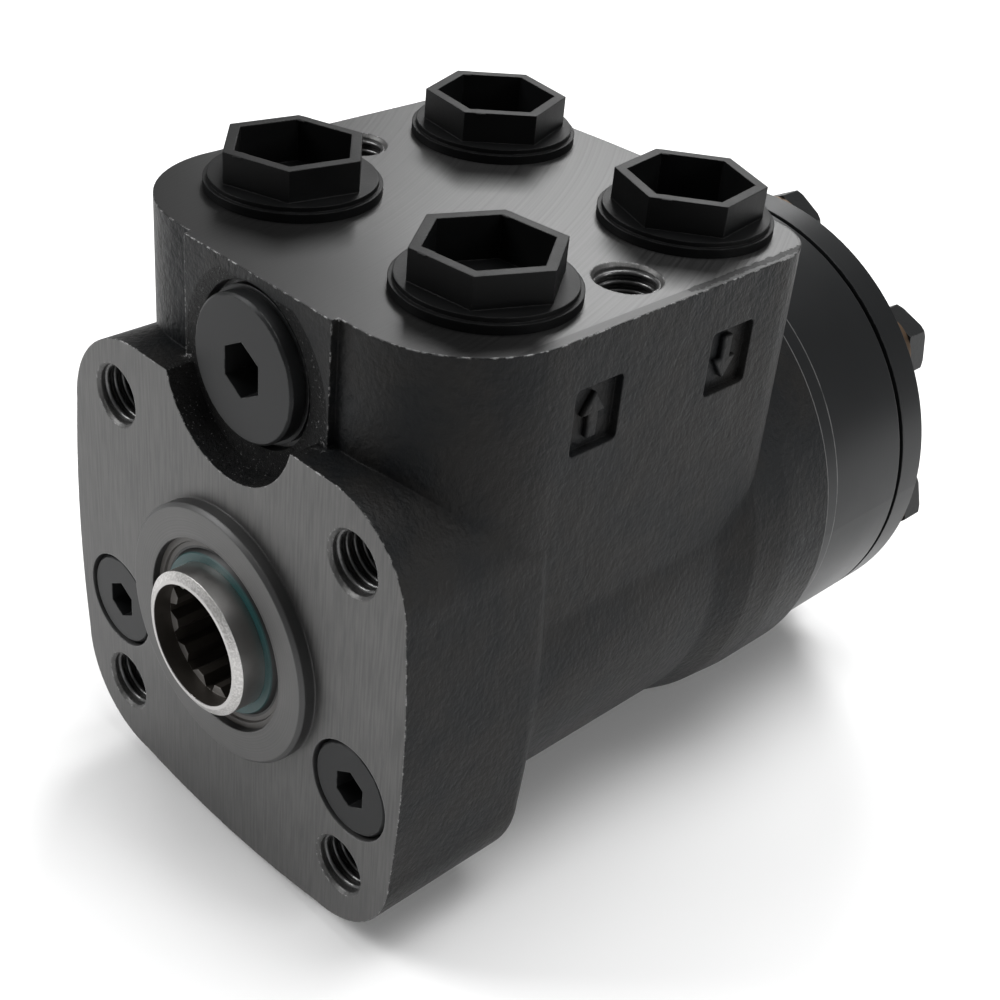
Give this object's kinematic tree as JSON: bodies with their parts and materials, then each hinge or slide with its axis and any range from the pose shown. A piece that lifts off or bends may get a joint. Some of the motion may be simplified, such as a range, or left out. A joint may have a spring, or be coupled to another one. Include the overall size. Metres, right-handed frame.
{
  "type": "orbital steering unit",
  "caption": "Orbital steering unit: cast housing with square column flange, top port block, splined shaft socket, gerotor gear set and screwed rear cover.",
  "frame": {"origin": "on the shaft axis, in the plane of the column flange's machined face", "axes": "+Y runs back along the shaft axis to the gear set and end cover, +Z points out of the port face, +X is to the right seen from the column"},
  "size_m": [0.0896, 0.1447, 0.1128],
  "materials": {
    "housing_casting": "semi-gloss black on the rough casting, bare grey on machined faces",
    "gear_set_black": "satin black machined rings",
    "seal_rubber": "black nitrile",
    "dust_seal_green": "dull blue-green rubber",
    "screw_black": "black oxide",
    "sealing_washer": "soft copper",
    "valve_plug_black": "black oxide, fine turned",
    "port_plug_plastic": "satin moulded plastic",
    "ground_steel": "ground and hardened",
    "inner_steel": "bright steel"
  },
  "bodies": {
    "housing_group": {"bearing_race_front": "inner_steel", "check_bush": "inner_steel", "cover_screw_1": "screw_black", "cover_screw_2": "screw_black", "cover_screw_3": "screw_black", "cover_screw_4": "screw_black", "cover_screw_5": "screw_black", "cover_screw_6": "screw_black", "cover_screw_7": "screw_black", "distributor_plate": "gear_set_black", "dust_seal": "dust_seal_green", "end_cover": "gear_set_black", "gear_ring": "gear_set_black", "housing": "housing_casting", "relief_adjuster": "inner_steel", "relief_plug": "valve_plug_black", "relief_seat": "inner_steel", "relief_spring": "inner_steel", "relief_washer": "sealing_washer", "screw_washers": "sealing_washer", "seal_ring_gear_front": "seal_rubber", "seal_ring_gear_rear": "seal_rubber", "seal_ring_housing": "seal_rubber", "shaft_seal": "seal_rubber", "shock_adjuster_left": "inner_steel", "shock_adjuster_right": "inner_steel", "shock_plug_left": "valve_plug_black", "shock_plug_right": "valve_plug_black", "shock_spring_left": "inner_steel", "shock_spring_right": "inner_steel", "shock_washer_left": "sealing_washer", "shock_washer_right": "sealing_washer", "suction_pin_left": "inner_steel", "suction_pin_right": "inner_steel"},
    "bearing_cage": {"needle_cage": "inner_steel"},
    "sleeve_group": {"sleeve": "ground_steel", "cross_pin": "inner_steel", "spring_ring": "inner_steel", "bearing_race_rear": "inner_steel", "leaf_springs_flat": "inner_steel", "leaf_spring_arched_left": "inner_steel", "leaf_spring_arched_right": "inner_steel"},
    "spool_group": {"spool": "ground_steel"},
    "orbit_centre": {"rotor_spacer": "ground_steel"},
    "rotor_group": {"rotor": "ground_steel"},
    "cardan_group": {"cardan_shaft": "ground_steel"},
    "relief_piston_group": {"relief_piston": "inner_steel"},
    "check_ball_group": {"check_ball": "inner_steel"},
    "shock_ball_left_group": {"shock_ball_left": "inner_steel"},
    "shock_ball_right_group": {"shock_ball_right": "inner_steel"},
    "suction_ball_left_group": {"suction_ball_left": "inner_steel"},
    "suction_ball_right_group": {"suction_ball_right": "inner_steel"},
    "port_plug_1_group": {"port_plug_1": "port_plug_plastic"},
    "port_plug_2_group": {"port_plug_2": "port_plug_plastic"},
    "port_plug_3_group": {"port_plug_3": "port_plug_plastic"},
    "port_plug_4_group": {"port_plug_4": "port_plug_plastic"}
  },
  "joints": [
    {"name": "steer_turn", "type": "hinge", "parent": "housing_group", "child": "sleeve_group", "pos_m": [0, 0, 0], "axis": [0, -1, 0], "continuous": true},
    {"name": "spool_deflection", "type": "hinge", "parent": "sleeve_group", "child": "spool_group", "pos_m": [0, 0, 0], "axis": [0, -1, 0], "range_deg": [-8, 8], "stiffness_Nm_per_rad": 4, "deforming": ["leaf_springs_flat", "leaf_spring_arched_left", "leaf_spring_arched_right"]},
    {"name": "bearing_roll", "type": "hinge", "parent": "housing_group", "child": "bearing_cage", "pos_m": [0, 0, 0], "axis": [0, -1, 0], "continuous": true},
    {"name": "rotor_orbit", "type": "hinge", "parent": "housing_group", "child": "orbit_centre", "pos_m": [0, 0, 0], "axis": [0, -1, 0], "continuous": true},
    {"name": "rotor_spin", "type": "hinge", "parent": "orbit_centre", "child": "rotor_group", "pos_m": [0, 0.1133, 0.0026], "axis": [0, -1, 0], "continuous": true},
    {"name": "cardan_spin", "type": "hinge", "parent": "orbit_centre", "child": "cardan_group", "pos_m": [0, 0.045, 0], "axis": [0, -0.9993, -0.038], "continuous": true},
    {"name": "relief_lift", "type": "slide", "parent": "housing_group", "child": "relief_piston_group", "axis": [0, -1, 0], "range_m": [0, 0.0015], "stiffness_N_per_m": 2000, "deforming": ["relief_spring"]},
    {"name": "check_lift", "type": "slide", "parent": "housing_group", "child": "check_ball_group", "axis": [0, 1, 0], "range_m": [0, 0.0011]},
    {"name": "shock_lift_left", "type": "slide", "parent": "housing_group", "child": "shock_ball_left_group", "axis": [0, -1, 0], "range_m": [0, 0.0015], "stiffness_N_per_m": 1500, "deforming": ["shock_spring_left"]},
    {"name": "suction_lift_left", "type": "slide", "parent": "housing_group", "child": "suction_ball_left_group", "axis": [0, 1, 0], "range_m": [0, 0.002]},
    {"name": "shock_lift_right", "type": "slide", "parent": "housing_group", "child": "shock_ball_right_group", "axis": [0, -1, 0], "range_m": [0, 0.0015], "stiffness_N_per_m": 1500, "deforming": ["shock_spring_right"]},
    {"name": "suction_lift_right", "type": "slide", "parent": "housing_group", "child": "suction_ball_right_group", "axis": [0, 1, 0], "range_m": [0, 0.002]},
    {"name": "port_plug_1_off", "type": "slide", "parent": "housing_group", "child": "port_plug_1_group", "axis": [0, 0, 1], "range_m": [0, 0.02]},
    {"name": "port_plug_2_off", "type": "slide", "parent": "housing_group", "child": "port_plug_2_group", "axis": [0, 0, 1], "range_m": [0, 0.02]},
    {"name": "port_plug_3_off", "type": "slide", "parent": "housing_group", "child": "port_plug_3_group", "axis": [0, 0, 1], "range_m": [0, 0.02]},
    {"name": "port_plug_4_off", "type": "slide", "parent": "housing_group", "child": "port_plug_4_group", "axis": [0, 0, 1], "range_m": [0, 0.02]}
  ],
  "couplings": [
    {"joint": "bearing_roll", "follows": "steer_turn", "ratio": 0.5},
    {"joint": "rotor_orbit", "follows": "steer_turn", "ratio": -6},
    {"joint": "rotor_spin", "follows": "steer_turn", "ratio": 7},
    {"joint": "cardan_spin", "follows": "steer_turn", "ratio": 7}
  ]
}
